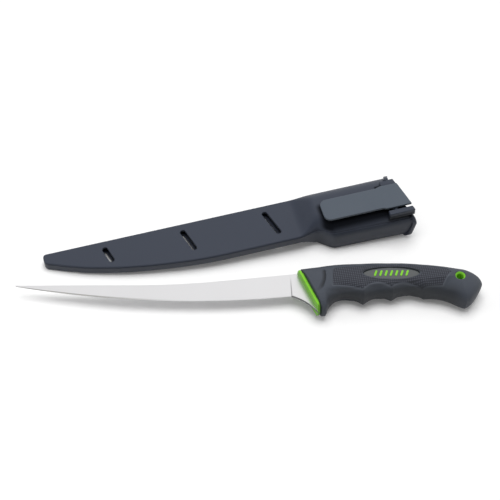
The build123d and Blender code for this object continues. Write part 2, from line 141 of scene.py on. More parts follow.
def finish(name, **fixed):
    """A material, its shader, some of whose sockets are set here, and a wire to build on."""
    material = bpy.data.materials.new(name)
    material.use_nodes = True
    shader = material.node_tree.nodes["Principled BSDF"]
    for socket, value in fixed.items():
        shader.inputs[socket.replace("_", " ")].default_value = value
    return material, shader, Wire(material.node_tree, None)


def mesh_object(name, points, faces, material):
    """A piece from points in millimetres, with its faces turned outwards."""
    mesh = bpy.data.meshes.new(name)
    mesh.from_pydata([tuple(0.001 * c for c in point) for point in points], [], faces)
    shape = bmesh.new()
    shape.from_mesh(mesh)
    if shape.calc_volume(signed=True) < 0:
        bmesh.ops.reverse_faces(shape, faces=shape.faces)
    shape.to_mesh(mesh)
    shape.free()
    mesh.materials.append(material)
    mesh.shade_smooth()
    made = bpy.data.objects.new(name, mesh)
    scene.collection.objects.link(made)
    return made


white_table, shader, wire = finish("white_table", Roughness=0.9, Specular_IOR_Level=0.0)
seen = wire.node("LightPath", output="Is Camera Ray")
mirrored = wire.node("LightPath", output="Is Glossy Ray")
looked_at = wire.maths("MAXIMUM", seen, mirrored)
wire.put(shader.inputs["Base Color"], looked_at.mix((0.42, 0.42, 0.42, 1), (0.88, 0.88, 0.88, 1)))
paint = Wire(wire.tree, shader.outputs[0])
glow = wire.node("Emission", None, {"Color": (1, 1, 1, 1), "Strength": 0.1})
lifted = wire.node("AddShader", None, {0: paint, 1: glow})
both = wire.node("MixShader", None, {"Fac": seen, 1: paint, 2: lifted})
wire.put(wire.tree.nodes["Material Output"].inputs["Surface"], both)
table_half, table_drop = 2500.0, 0.05
corners = [(x * table_half, y * table_half, -table_drop) for x, y in ((-1, -1), (1, -1), (1, 1), (-1, 1))]
table = mesh_object("table_top", corners, [(0, 1, 2, 3)], white_table)

room = bpy.data.worlds.new("white_room")
room.use_nodes = True
room.node_tree.nodes.clear()
wire = Wire(room.node_tree, None)
way = wire.node("TexCoord", output=0)
ambient = 0.16 + 0.48 * way.part(1).step(-0.6, 0.4)
above_front = wire.node("VectorMath", {"operation": "DOT_PRODUCT"}, {0: way, 1: (0, -0.616, 0.788)}, 1)
mirrored_room = (1 - 0.72 * above_front.step(0.72, 0.97)) * (0.45 + 0.55 * way.part(0).step(-0.75, -0.15))
camera_ray = wire.node("LightPath", output="Is Camera Ray")
glossy_ray = wire.node("LightPath", output="Is Glossy Ray")
mirror_ray = wire.maths("MAXIMUM", glossy_ray, wire.node("LightPath", output="Is Transmission Ray"))
strength = camera_ray + (1 - camera_ray) * (mirror_ray * mirrored_room + (1 - mirror_ray) * ambient)
back = wire.node("Background", None, {"Color": (1, 1, 1, 1), "Strength": strength})
wire.put(room.node_tree.nodes.new("ShaderNodeOutputWorld").inputs["Surface"], back)
scene.world = room


def softbox(name, place, aim, size, watts):
    """A square lamp that no mirror shows."""
    light = bpy.data.lights.new(name, "AREA")
    light.shape, light.size, light.energy = "SQUARE", size, watts
    made = bpy.data.objects.new(name, light)
    made.location = place
    made.rotation_mode = "QUATERNION"
    made.rotation_quaternion = (Vector(aim) - Vector(place)).to_track_quat("-Z", "Y")
    made.visible_glossy = False
    scene.collection.objects.link(made)


softbox("key_softbox", (0.04, 0.08, 1.16), (0, 0, 0), 0.8, 10.2)
softbox("left_softbox", (-0.9, -0.1, 0.35), (0.03, -0.04, 0.01), 0.4, 1.8)

# The camera stands 52 degrees above the table, 868 mm from it.
rise, reach = radians(52), 0.868
aim = Vector((0.000974, 0.0046765, 0))
lens = bpy.data.cameras.new("camera")
lens.lens, lens.sensor_width = 84.67, 36.0
lens.clip_start, lens.clip_end = 0.05, 20
camera = bpy.data.objects.new("camera", lens)
camera.location = aim + reach * Vector((0, -cos(rise), sin(rise)))
camera.rotation_mode = "QUATERNION"
camera.rotation_quaternion = (aim - camera.location).to_track_quat("-Z", "Y")
scene.collection.objects.link(camera)
scene.camera = camera


# Blade. One plate of stainless steel, 2 mm at the spine and ground thin to a
# fine edge, with a flat ricasso and a choil that sweeps down to the collar.
knife_frame = Matrix.Translation((0.0345768, -0.026024, 0.0107039)) @ Matrix.Rotation(radians(6.7), 4, "Z")
collar_angle = radians(16)
collar_lean = tan(collar_angle)
blade_length, blade_thickness, tip_thickness = 200.0, 2.0, 0.9
straight_spine, spine_bow, spine_lift = 52.0, 560.0, radians(6.7)
heel_at, heel_depth, tip_depth = 6.3, 18.6, 0.8
choil_radius, choil_x, choil_y = 34.56, -21.05, -49.85
edge_thickness, edge_land, choil_land, spine_bevel = 0.42, 0.7, 0.22, 0.2


def ramp(value, low, high):
    """Smooth step from 0 to 1 between two values."""
    share = np.clip((np.asarray(value, float) - low) / (high - low), 0, 1)
    return share * share * (3 - 2 * share)


def skin(name, rings, material):
    """A closed tube of rings of points, with fans over its two ends."""
    rings = np.asarray(rings, float)
    count, around = rings.shape[:2]
    points = rings.reshape(-1, 3)
    faces = []
    for i in range(count - 1):
        for j in range(around):
            k = (j + 1) % around
            faces.append((i * around + j, i * around + k, (i + 1) * around + k, (i + 1) * around + j))
    for at_end in (False, True):
        ring = (count - 1) * around if at_end else 0
        centre = len(points)
        points = np.vstack([points, points[ring:ring + around].mean(0)])
        for j in range(around):
            k = (j + 1) % around
            pair = (ring + j, ring + k) if at_end else (ring + k, ring + j)
            faces.append((*pair, centre))
    return mesh_object(name, points, faces, material)


def seat(piece, place, body, slot, *nodes):
    """Puts a piece where the CAD has it, on its body and in place of its nodes."""
    piece.data.transform(place)
    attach(piece, body)
    if nodes:
        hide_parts(*nodes)


def crease(piece, degrees):
    """Keeps the edges sharp where faces meet at more than an angle."""
    piece.data.set_sharp_from_angle(angle=radians(degrees))


def spine_height(back):
    """The spine runs straight, bends up, and rises straight to the tip."""
    bend = spine_bow * sin(spine_lift)
    run = min(max(back - straight_spine, 0), bend)
    beyond = max(back - straight_spine - bend, 0)
    return spine_bow - (spine_bow**2 - run**2) ** 0.5 + beyond * tan(spine_lift)


def edge_height(back):
    """The edge sweeps up from the heel to the tip."""
    share = (back - heel_at) / (blade_length - heel_at)
    return (heel_depth + spine_height(blade_length) - tip_depth) * share**2 - heel_depth


blade_xs = np.concatenate([np.linspace(-blade_length, -196, 14), np.linspace(-195, -10, 150),
                           np.linspace(-9.4, -2.6, 40), np.linspace(-2.2, 10.0, 42)])
blade_rings = []
for x in blade_xs:
    tip = float(ramp(-x, blade_length - 0.7, blade_length))
    top = spine_height(max(-x, 0.0)) if x <= 1.2 else -(x - 1.2) / collar_lean
    thick = blade_thickness
    if x < -heel_at:
        low = edge_height(-x)
        low += (top - 0.06 - low) * tip**1.5
        thick += (tip_thickness - blade_thickness) * (-x - heel_at) / (blade_length - heel_at)
    else:
        low = min(choil_y + (choil_radius**2 - (x - choil_x) ** 2) ** 0.5, top - 0.3)
    ground = 1 - float(ramp(x, -heel_at - 0.4, -heel_at + 0.2))
    rim = (edge_land * ground + choil_land * (1 - ground)) * min(1.0, (top - low) / 6)
    bevel = min(spine_bevel, (top - low) / 8)
    ys = [top, top - bevel * 0.3, top - bevel]
    ys += list(np.linspace(top - bevel, low + rim, 15)[1:])
    ring = []
    for y in ys:
        share = np.clip((y - low) / max(top - low, 0.01), 0, 1)
        wedge = edge_thickness + (thick - edge_thickness) * share
        plunge = float(ramp(x - (-5.0 + (y + 1.5) * 0.076), -0.45, 0.45))
        full = (wedge * (1 - plunge) + blade_thickness * plunge) * (1 - 0.55 * tip)
        if y > top - bevel - 1e-9:
            full -= 2 * (bevel - (top - y)) * 0.9
        ring.append((x, y, full / 2))
    last = 0.015 * ground + 0.78 * (1 - ground)
    ring.append((x, low, last))
    blade_rings.append(ring + [(px, py, -pz) for px, py, pz in reversed(ring)])

satin_steel, shader, wire = finish("satin_steel", Metallic=1.0)
streaks = wire.noise(900, 2.0, (0.16, 1, 1), knife_frame)
grind = wire.noise(2600, 2.0, (1, 0.02, 1), knife_frame)
cloud = wire.noise(18, 2.0)
facing_up = wire.maths("ABSOLUTE", wire.node("NewGeometry", output="Normal").part(2))
# Painted shade: faces that turn away from up, such as the spine, the edge and the choil's face, are coloured
# dark grey.
painted_side_shade = 1 - facing_up.step(0.25, 0.6)
# The points at the edge are coloured darker, fading in from 80 to 150 mm along the blade and full to the tip.
dark_edge_line = wire.node("Attribute", {"attribute_name": "dark_edge_line"}, output=2)
ground_steel = cloud.mix((0.77, 0.765, 0.775, 1), (0.83, 0.825, 0.835, 1))
edge_lined_steel = dark_edge_line.mix(ground_steel, (0.46, 0.45, 0.44, 1))
wire.put(shader.inputs["Base Color"], painted_side_shade.mix(edge_lined_steel, (0.12, 0.12, 0.125, 1)))
wire.put(shader.inputs["Roughness"], 0.235 + grind * 0.1 + cloud * 0.05)
wire.put(shader.inputs["Normal"], wire.bump(grind * 0.8 + streaks * 0.2, 0.12, 0.00006))
blade = skin("blade_plate", blade_rings, satin_steel)
crease(blade, 24)
values = np.zeros(len(blade.data.vertices), np.float32)
around = len(blade_rings[0])
for number, x in enumerate(blade_xs):
    first = number * around + around // 2 - 2
    values[first:first + 4] = ramp(-x, 80, 150)
blade.data.attributes.new("dark_edge_line", "FLOAT", "POINT").data.foreach_set("value", values)
seat(blade, knife_frame, "knife", "blade_steel", "blade")


# Hard green core. It is moulded round the tang, and shows as the collar in
# front of the grip, the lining of the lanyard hole and the badge's ribs.
collar_frame = knife_frame @ Matrix.Rotation(collar_angle, 4, "Z")
hard_green, shader, wire = finish("hard_green_plastic", Specular_IOR_Level=0.22)
tone = wire.noise(60, 3.0)
grain = wire.noise(2400, 2.0)
wire.put(shader.inputs["Base Color"], tone.mix((0.185, 0.52, 0.03, 1), (0.225, 0.585, 0.042, 1)))
wire.put(shader.inputs["Roughness"], 0.27 + grain * 0.14)
wire.put(shader.inputs["Normal"], wire.bump(grain, 0.12, 0.00006))


def circle(radius, steps, height=0.0):
    """One turn of points at a height."""
    return [(radius * cos(a), radius * sin(a), height) for a in np.linspace(0, 2 * pi, steps + 1)[:-1]]


def stadium(length, width, steps):
    """Outline of a bar with round ends, counterclockwise, with its outward ways."""
    radius, straight = width / 2, (length - width) / 2
    turns = np.linspace(-pi / 2, pi / 2, steps)
    right = [(straight + radius * cos(a), radius * sin(a), cos(a), sin(a)) for a in turns]
    left = [(-straight - radius * cos(a), -radius * sin(a), -cos(a), -sin(a)) for a in turns]
    middle = np.linspace(-1, 1, 9)[1:-1]
    top = [(-straight * s, radius, 0, 1) for s in middle]
    bottom = [(straight * s, -radius, 0, -1) for s in middle]
    return np.array(right + top + left + bottom)


def rounded_slab(outline, low, high, radius, steps=5):
    """Rings of a slab over an outline, with its upper and lower rims rounded."""
    rings = []
    for angle in np.linspace(0, pi / 2, steps):
        inset, height = radius * (1 - sin(angle)), low + radius * (1 - cos(angle))
        rings.append([(x - nx * inset, y - ny * inset, height) for x, y, nx, ny in outline])
    for angle in np.linspace(pi / 2, 0, steps):
        inset, height = radius * (1 - sin(angle)), high - radius * (1 - cos(angle))
        rings.append([(x - nx * inset, y - ny * inset, height) for x, y, nx, ny in outline])
    return rings


def arc(x, y, radius, start, end, steps):
    """Points of an arc, with their outward ways."""
    return [(x + radius * cos(a), y + radius * sin(a), cos(a), sin(a)) for a in np.linspace(start, end, steps)]


def bowed_bar(reach, half, bulge, corner):
    """Outline of a bar with bowed ends and rounded corners, with its outward ways."""
    bow = (bulge**2 + half**2) / (2 * bulge)
    middle_y = half - corner
    run = ((bow - corner) ** 2 - middle_y**2) ** 0.5
    middle_x, turn = reach - bow + run, asin(middle_y / (bow - corner))
    end = arc(middle_x, -middle_y, corner, -pi / 2, -turn, 12) + arc(reach - bow, 0, bow, -turn, turn, 12)[1:-1]
    end += arc(middle_x, middle_y, corner, turn, pi / 2, 12)
    side = [(-middle_x * share, half, 0, 1) for share in np.linspace(-1, 1, 12)[1:-1]]
    return np.array(end + side + [(-x, -y, -nx, -ny) for x, y, nx, ny in end + side])


def collar_slab(outline, front, back, radius):
    """Rings of a slab across the handle, whose thickness runs back from the collar's front."""
    rings = rounded_slab(outline, front, back, radius)
    return [[(z, x - collar_drop, y) for x, y, z in ring] for ring in rings]


def loop_faces(count, around):
    """Faces between neighbours of a closed loop of sections."""
    faces = []
    for i in range(count):
        here, ahead = i * around, (i + 1) % count * around
        for j in range(around):
            k = (j + 1) % around
            faces.append((here + j, ahead + j, ahead + k, here + k))
    return faces


collar_drop = 17.8
collar = skin("green_collar", collar_slab(bowed_bar(18.1, 7.5, 2.2, 2.4), 0.0, 1.8, 0.6), hard_green)
crease(collar, 50)
seat(collar, collar_frame, "knife", "core_plastic", "handle_core")
collar.visible_diffuse = False  # it tints nothing beside it
neck = skin("green_neck", collar_slab(bowed_bar(15.9, 5.3, 2.0, 2.0), 1.4, 5.0, 0.2), hard_green)
crease(neck, 50)
seat(neck, collar_frame, "knife", "core_plastic")

hole_x, hole_y, hole_radius = 112.9, -21.2, 3.6
cord_radius, lining_half = 2.4, 9.521
profile = [(cord_radius, 0), (cord_radius, lining_half - 1.5), (2.47, lining_half - 1.15),
           (2.65, lining_half - 0.85), (3.3, lining_half - 0.08), (3.42, lining_half),
           (3.54, lining_half - 0.06), (hole_radius, lining_half - 0.3), (hole_radius, 0)]
profile += [(r, -z) for r, z in reversed(profile[1:-1])]
turns = np.linspace(0, 2 * pi, 49)[:-1]
lining_points = [(r * cos(a), r * sin(a), z) for a in turns for r, z in profile]
lining = mesh_object("lanyard_lining", lining_points, loop_faces(len(turns), len(profile)), hard_green)
crease(lining, 40)
seat(lining, knife_frame @ Matrix.Translation((0.001 * hole_x, 0.001 * hole_y, 0)), "knife", "core_plastic")


# Badge plates. Glossy dark ovals, slightly crowned, sunk in a window on each
# side of the grip, with the core's row of leaning ribs standing through them.
grip_half = 10.7
badge_floor = grip_half - 1.2
badge_x, badge_y, badge_lean = 65.0, -13.6, radians(6)
oval_long, oval_short = 19.85, 5.1
dark_gloss, shader, wire = finish("dark_gloss_plastic", Coat_Weight=0.6, Coat_Roughness=0.08)
tone = wire.noise(40, 2.0)
grain = wire.noise(1800, 2.0)
wire.put(shader.inputs["Base Color"], tone.mix((0.045, 0.05, 0.052, 1), (0.07, 0.077, 0.08, 1)))
wire.put(shader.inputs["Roughness"], 0.2 + grain * 0.1)
wire.put(shader.inputs["Normal"], wire.bump(grain, 0.06, 0.00005))


def badge_side(turn):
    """Place of the badge in the knife's own frame, on the side it is turned to."""
    middle = Matrix.Translation((0.001 * badge_x, 0.001 * badge_y, 0)) @ Matrix.Rotation(-badge_lean, 4, "Z")
    return middle @ Matrix.Rotation(radians(turn), 4, "X")


rim_steps = [(0.97, -1.1), (1.0, -0.95), (1.0, -0.15), (0.985, -0.04), (0.96, 0.0)]
crown_steps = [(share, 0.22 * (1 - share**2)) for share in np.linspace(0.9, 0.05, 14)]
rib_gap = 0.0037
for side, turn in (("right", 0), ("left", 180)):
    place = knife_frame @ badge_side(turn)
    rings = [[(share * oval_long * x, share * oval_short * y, badge_floor + height)
              for x, y, _ in circle(1, 96)] for share, height in rim_steps + crown_steps]
    plate = skin("badge_plate_" + side + "_oval", rings, dark_gloss)
    seat(plate, place, "knife", "badge_plastic", "badge_plate_" + side)
    for number in range(7):
        rib_place = Matrix.Translation(((number - 3) * rib_gap, 0, 0)) @ Matrix.Rotation(radians(70), 4, "Z")
        slab = rounded_slab(stadium(5.2, 1.5, 8), badge_floor - 0.8, badge_floor + 0.5, 0.22, 4)
        rib = skin("rib_" + side + "_" + str(number + 1), slab, hard_green)
        crease(rib, 60)
        seat(rib, place @ rib_place, "knife", "core_plastic")


# Grip. Soft dark rubber moulded over the core, with a guard in front, finger
# grooves below, a sunk knurled panel on each side and a swept butt.
grip_length, grip_front, butt_start, butt_drop = 129.1, 2.92, 115, 24.5
guard_drop, heel_drop = 35.4, 41.3
groove_ends, groove_drops = (13, 43.5, 64, 87, 114), (guard_drop, 28.6, 27.4, 28.4, heel_drop)
groove_depths = (8.8, 2.7, 3.3, 2.4)


def cap_share(x, start, power):
    """1 along the handle, rounding down to 0 at the butt's end."""
    share = np.clip((x - start) / (grip_length - start), 0, 1)
    return (1 - share**power) ** (1 / power)


def grip_top(x):
    """The back of the handle, level at first and falling to the butt."""
    run = np.clip(x - 14, 0, None) / (121 - 14)
    shrink = cap_share(x, butt_start, 2.0)
    return shrink * (1.8 - 15.5 * run**2.2) - (1 - shrink) * butt_drop


def grip_bottom(x):
    """The underside, with the guard, the finger grooves and the butt's heel."""
    bottom = np.full_like(x, -guard_drop)
    grooves = zip(groove_ends, groove_ends[1:], groove_drops, groove_drops[1:], groove_depths)
    for left, right, low, high, depth in grooves:
        share = (x - left) / (right - left)
        scallop = depth * np.sin(pi * share) - low - (high - low) * share
        bottom = np.where((x > left) & (x <= right), scallop, bottom)
    bottom = np.where(x > groove_ends[-1], -heel_drop, bottom)
    groove = ramp(x, 14.6, 18.2)
    bottom = bottom * groove - guard_drop * (1 - groove) + 0.9 * np.exp(-((x - 114.5) / 2.4) ** 2)
    shrink = cap_share(x, 114, 1.2)
    return shrink * bottom - (1 - shrink) * butt_drop


def grip_side(x):
    """Half of the handle's thickness."""
    half = grip_half * np.interp(x / grip_length, (0, 0.1, 0.2, 0.8, 0.9, 1), (0.87, 0.975, 1, 1, 0.965, 0.9))
    return half * cap_share(x, butt_start, 2.0)


def arch(start, end, height):
    """A scallop of the panel's border from one cusp to the next."""
    (x0, y0), (x1, y1) = start, end
    return [(x0 + (x1 - x0) * s, y0 + (y1 - y0) * s + height * sin(pi * s) ** 0.8)
            for s in np.linspace(0, 1, 14)[:-1]]


cusps = [(22.3, -19.4), (42.9, -24.2), (63.4, -24.4), (84.5, -26.9), (99.0, -27.2), (107.3, -17.6),
         (103.2, -13.0), (86.0, -8.9), (66.0, -6.0), (45.0, -4.6), (27.0, -4.5), (24.3, -6.4)]
arch_heights = (1.6, 4.0, 3.8, 0.5, 0.9, 0.6, 0.35, 0.3, 0.2, 0.1, 0.3, 0.0)
panel_border = []
for start, end, height in zip(cusps, cusps[1:] + cusps[:1], arch_heights):
    panel_border += arch(start, end, height)


def border_distance(xs, ys, border):
    """Distance to a closed border, positive inside it."""
    nearest = np.full(xs.shape, 1e9)
    inside = np.zeros(xs.shape, bool)
    for (x0, y0), (x1, y1) in zip(border, border[1:] + border[:1]):
        dx, dy = x1 - x0, y1 - y0
        share = np.clip(((xs - x0) * dx + (ys - y0) * dy) / (dx * dx + dy * dy + 1e-12), 0, 1)
        nearest = np.minimum(nearest, np.hypot(xs - x0 - share * dx, ys - y0 - share * dy))
        crossing = (y0 > ys) != (y1 > ys)
        inside ^= crossing & (xs < (x1 - x0) * (ys - y0) / (y1 - y0 + 1e-12) + x0)
    return np.where(inside, nearest, -nearest)


# Rings follow the collar's lean at the front and stand upright farther back.
along = np.concatenate([np.linspace(grip_front, 22, 40)[:-1], np.linspace(22, 108, 288)[:-1],
                        np.linspace(108, 126, 40)[:-1], grip_length - 3.1 * np.linspace(1, 0.02, 16) ** 2])
drops = np.concatenate([2.0 * np.linspace(0, 1, 10)[:-1] ** 2.2, np.linspace(2.0, 17.9, 54)])
tail = 1 - (1 - np.linspace(0, 1, 34)[1:]) ** 1.6
shear = np.clip(1 - (along - grip_front) / 26, 0, 1)[:, None]
base = along[:, None] + np.zeros((1, len(drops) + len(tail)))
xs = base.copy()
for _ in range(12):
    top, bottom = grip_top(xs), grip_bottom(xs)
    height = top - bottom
    first = np.minimum(drops[None, :], height[:, :len(drops)] * (drops / 21.0)[None, :])
    start = first[:, -1:]
    rest = start + (height[:, len(drops):] - start) * tail[None, :]
    down = np.hstack([first, rest])
    ys = top - down
    xs = base + shear * np.clip(-ys, -3, 40) * collar_lean
share = np.clip(2 * down / np.maximum(height, 1e-6) - 1, -1, 1)
zs = grip_side(xs) * (1 - np.abs(share) ** 2.8) ** (1 / 2.8)
dip = np.zeros_like(xs)
for first_x, last_x in ((15, 43.5), (43.5, 64), (64, 87), (87, 113)):
    dip += np.sin(pi * np.clip((xs - first_x) / (last_x - first_x), 0, 1)) ** 0.8
lower = np.clip((-ys - 21.5) / np.maximum(-bottom - 21.5, 0.1), 0, 1)
zs *= 1 - 0.2 * np.sin(pi * lower) * dip
right_half = np.stack([xs, ys, zs], 2)
grid = np.concatenate([right_half, right_half[:, -2:0:-1] * np.array([1, 1, -1])], 1)


def outward(grid):
    """Unit ways out of a grid of rings."""
    lengthwise = np.gradient(grid, axis=0)
    around = (np.roll(grid, -1, 1) - np.roll(grid, 1, 1)) / 2
    way = np.cross(lengthwise, around)
    way /= np.maximum(np.linalg.norm(way, axis=2, keepdims=True), 1e-9)
    side = np.sign(np.sum(way[:, :, 2] * np.sign(grid[:, :, 2])))
    return way * (side if side else 1)


# The relief: sunk panels with their knurl, a lip round them, the rims of the
# window and of the hole, a crescent behind the guard and scoops for fingers.
gx, gy, gz = grid[:, :, 0], grid[:, :, 1], grid[:, :, 2]
flank = ramp(np.abs(gz) / np.maximum(grip_side(gx), 0.1), 0.2, 0.5)
edge = border_distance(gx, gy, panel_border)
panel = ramp(edge, -0.1, 0.35) * flank
depth = np.concatenate([down, down[:, -2:0:-1]], 1)
knurl_wave = 2 * pi / 1.2
knurl = 0.5 + 0.5 * np.sin(knurl_wave * (gx + depth)) * np.sin(knurl_wave * (gx - depth))
knurled = ramp(edge, 0.45, 0.9) * flank
window_long, window_short = 20.0, 5.25
oval_x = (gx - badge_x) * cos(badge_lean) - (gy - badge_y) * sin(badge_lean)
oval_y = (gx - badge_x) * sin(badge_lean) + (gy - badge_y) * cos(badge_lean)
oval = (np.hypot(oval_x / window_long, oval_y / window_short) - 1) * 6.5
oval_rim = 1 - ramp(oval, 0.25, 0.6)
hole = np.hypot(gx - hole_x, gy - hole_y) - hole_radius
crescent_x, crescent_y, crescent_radius = -4.5, -7.0, 23.3
bow = np.hypot(gx - crescent_x, gy - crescent_y) - crescent_radius
bow_span = ramp(gy, -24.5, -17.5) * (1 - ramp(gy, -6.5, -3.6)) * flank
panel_depth, knurl_height, lip_height = 0.32, 0.2, 0.14
crescent_depth, window_dip, hole_dip = 0.9, 0.22, 0.3
relief = -panel_depth * panel * (1 - oval_rim)
relief += knurl_height * knurl * knurled * (1 - oval_rim)
relief += lip_height * np.exp(-((edge + 0.5) / 0.45) ** 2) * flank
crescent = ramp(bow, -3.0, -0.3) * (1 - ramp(bow, 0.0, 0.35)) * bow_span
relief -= crescent_depth * crescent
relief -= window_dip * (1 - ramp(oval, 0.0, 0.45)) * flank
relief -= hole_dip * (1 - ramp(hole, 0.0, 0.6)) * flank
scoop = np.zeros_like(gx)
for first_x, last_x, deepest in ((17, 43.2, 0.9), (43.2, 63.7, 0.8), (63.7, 86, 0.8), (86, 112, 0.5)):
    scoop += deepest * np.sin(pi * np.clip((gx - first_x) / (last_x - first_x), 0, 1)) ** 1.3
under = ramp(-(gy + 18.0), 0, 5) * ramp(-edge, 0.0, 3.5) * flank
relief -= scoop * under * 0.9
grid = grid + outward(grid) * relief[:, :, None]
widest, farthest = grip_half - 0.01, grip_length - 0.02
grid = np.clip(grid, (-50, -90, -widest), (farthest, 50, widest))

# Three rings drawn inwards close the front, whose rim is rounded.
front = grid[0]
ways = front - front.mean(0)
ways /= np.linalg.norm(ways, axis=1, keepdims=True)
grip_rings = np.concatenate([[front - ways * inset for inset in (6.0, 1.4, 0.5)], grid])
grip_rings[3] += 0.45 * np.array([cos(collar_angle), sin(collar_angle), 0])

soft_rubber, shader, wire = finish("soft_rubber", Specular_IOR_Level=0.42)
sides = wire.node("Attribute", {"attribute_name": "knurl"}, output=2)
painted_lip_highlight = wire.node("Attribute", {"attribute_name": "painted_lip_highlight"}, output=2)
painted_grip_shade = wire.node("Attribute", {"attribute_name": "painted_grip_shade"}, output=2)
tone = wire.noise(24, 3.0)
dust = wire.noise(420, 4.0)
grain = wire.noise(3400, 2.0)
lengthways, upward = wire.spot(knife_frame).part(0), wire.spot(knife_frame).part(1)
dot_wave = 2 * pi / 0.003
rising, falling = (lengthways + upward) * dot_wave, (lengthways - upward) * dot_wave
dots = (wire.maths("SINE", rising) * wire.maths("SINE", falling)).step(-0.2, 0.8) * sides
plain = tone.mix((0.044, 0.051, 0.066, 1), (0.056, 0.064, 0.08, 1))
panelled = (sides * 0.9).mix(plain, (0.022, 0.024, 0.032, 1))
dotted = (dots * 0.8).mix(panelled, (0.085, 0.09, 0.11, 1))
# Painted highlight: a lighter line along the lower border of the knurled panel.
with_lip_highlight = (painted_lip_highlight * 0.45).mix(dotted, (0.105, 0.115, 0.135, 1))
# Painted shade: the colour turns near black where the shade attribute is set.
wire.put(shader.inputs["Base Color"], painted_grip_shade.mix(with_lip_highlight, (0.012, 0.014, 0.017, 1)))
wire.put(shader.inputs["Roughness"], 0.52 + dust * 0.14 + sides * 0.08)
wire.put(shader.inputs["Normal"], wire.bump(grain * 0.7 + dust * 0.5 + dots * 1.6, 0.22, 0.00012))
grip = skin("soft_grip", grip_rings, soft_rubber)
# Where the lip's painted highlight lies: just outside the panel's lower border.
painted_lip_highlights = np.exp(-((edge + 0.4) / 0.45) ** 2) * flank * ramp(-gy, 16, 20)
lower = np.concatenate([lower, lower[:, -2:0:-1]], 1)
# Painted shade in the crescent behind the guard, over the lower flanks of the finger grooves, and along the
# upper rim of the badge window, where its wall casts shadow.
painted_grip_shades = 0.85 * crescent + 0.75 * ramp(lower, 0.1, 0.9) * ramp(gx, 14, 20) * (1 - ramp(gx, 104, 116))
painted_grip_shades = np.maximum(painted_grip_shades, 0.9 * (1 - ramp(oval, 0.25, 0.9)) * ramp(oval_y, -1.5, 2.5) * flank)
for mark, field in (("knurl", panel * (1 - oval_rim)), ("painted_lip_highlight", painted_lip_highlights), ("painted_grip_shade", painted_grip_shades)):
    values = np.zeros(len(grip.data.vertices), np.float32)
    values[3 * grid.shape[1]:grip_rings.shape[0] * grid.shape[1]] = field.reshape(-1)
    grip.data.attributes.new(mark, "FLOAT", "POINT").data.foreach_set("value", values)


def carve(piece, cutter, operation="DIFFERENCE"):
    """Cuts a piece with another closed mesh, and applies the cut."""
    change = piece.modifiers.new("cut", "BOOLEAN")
    change.operation, change.object, change.solver = operation, cutter, "MANIFOLD"
    bpy.context.view_layer.update()
    result = piece.evaluated_get(bpy.context.evaluated_depsgraph_get())
    shape, old = bpy.data.meshes.new_from_object(result), piece.data
    piece.modifiers.remove(change)
    piece.data = shape
    shape.name = old.name
    bpy.data.meshes.remove(old)
    bpy.data.meshes.remove(cutter.data)


for turn in (0, 180):
    disc = [[(window_long * x, window_short * y, z) for x, y, _ in circle(1, 96)]
            for z in (badge_floor - 1.2, 14)]
    cutter = skin("window_cutter", disc, soft_rubber)
    cutter.matrix_world = badge_side(turn)
    carve(grip, cutter)
bore = [[(hole_x + x, hole_y + y, z) for x, y, _ in circle(hole_radius + 0.02, 96)] for z in (-14, 14)]
carve(grip, skin("bore_cutter", bore, soft_rubber))
crease(grip, 38)
seat(grip, knife_frame, "knife", "grip_rubber", "grip")


# Sheath shells. Two satin plastic mouldings welded along a fine groove: flat
# over the blade, swollen at the mouth, with three slots and a rim.
sheath_length, far_edge, near_edge = 270.8, 1.7, -34.3
waist_edge, shoulder_edge, mouth_edge = -32.7, -40.6, -42.2
flat_end, waist_x, swell_end, shoulder_x = 184, 197, 202, 211
flat_half, mouth_half, pocket_half = 3.8, 12.5, 1.9
side_wall, mouth_wall, edge_radius, nose_radius = 2.0, 1.4, 0.9, 2.6
mouth_bow, bowed_half, mouth_lean = 18, 14.5, tan(radians(10))
tilt = asin((mouth_half - flat_half) / (swell_end - nose_radius))
sheath_frame = (Matrix.Translation((-0.149523, -0.007224, 0.00376185))
                @ Matrix.Rotation(radians(14.1), 4, "Z") @ Matrix.Rotation(-tilt, 4, "Y"))


def mouth_end(y, w):
    """The mouth leans, and its end is bowed like a barrel."""
    bow = mouth_bow - (mouth_bow**2 - min(abs(w), bowed_half) ** 2) ** 0.5
    return sheath_length - (y - mouth_edge) * mouth_lean - bow


def cosine_step(value):
    """Half a cosine wave from 0 to 1."""
    return float((1 - np.cos(pi * np.clip(value, 0, 1))) / 2)


def parting(x):
    """Height of the seam, which climbs from the flat part to the mouth."""
    return 2.8 + 3.0 * ramp(x, flat_end, shoulder_x)


belly = [(0, -6.5, -0.43), (31.2, -19.15, -0.312), (74.1, -29.16, -0.155), (130, near_edge, 0)]


def near_line(x):
    """Near edge: belly, flat part, waist, shoulder and mouth."""
    for (a, low, slope_in), (b, high, slope_out) in zip(belly, belly[1:]):
        if x <= b:
            run, s = b - a, (x - a) / (b - a)
            return ((2 * s**3 - 3 * s**2 + 1) * low + (s**3 - 2 * s**2 + s) * run * slope_in
                    + (-2 * s**3 + 3 * s**2) * high + (s**3 - s**2) * run * slope_out)
    if x <= waist_x:
        return near_edge + (waist_edge - near_edge) * cosine_step((x - flat_end) / (waist_x - flat_end))
    if x <= shoulder_x:
        return waist_edge + (shoulder_edge - waist_edge) * cosine_step((x - waist_x) / (shoulder_x - waist_x))
    return shoulder_edge + (mouth_edge - shoulder_edge) * (x - shoulder_x) / (sheath_length - shoulder_x)


def rounding(x, radius):
    """How far a rounded end has drawn in at x."""
    return radius - (radius**2 - max(radius - x, 0) ** 2) ** 0.5


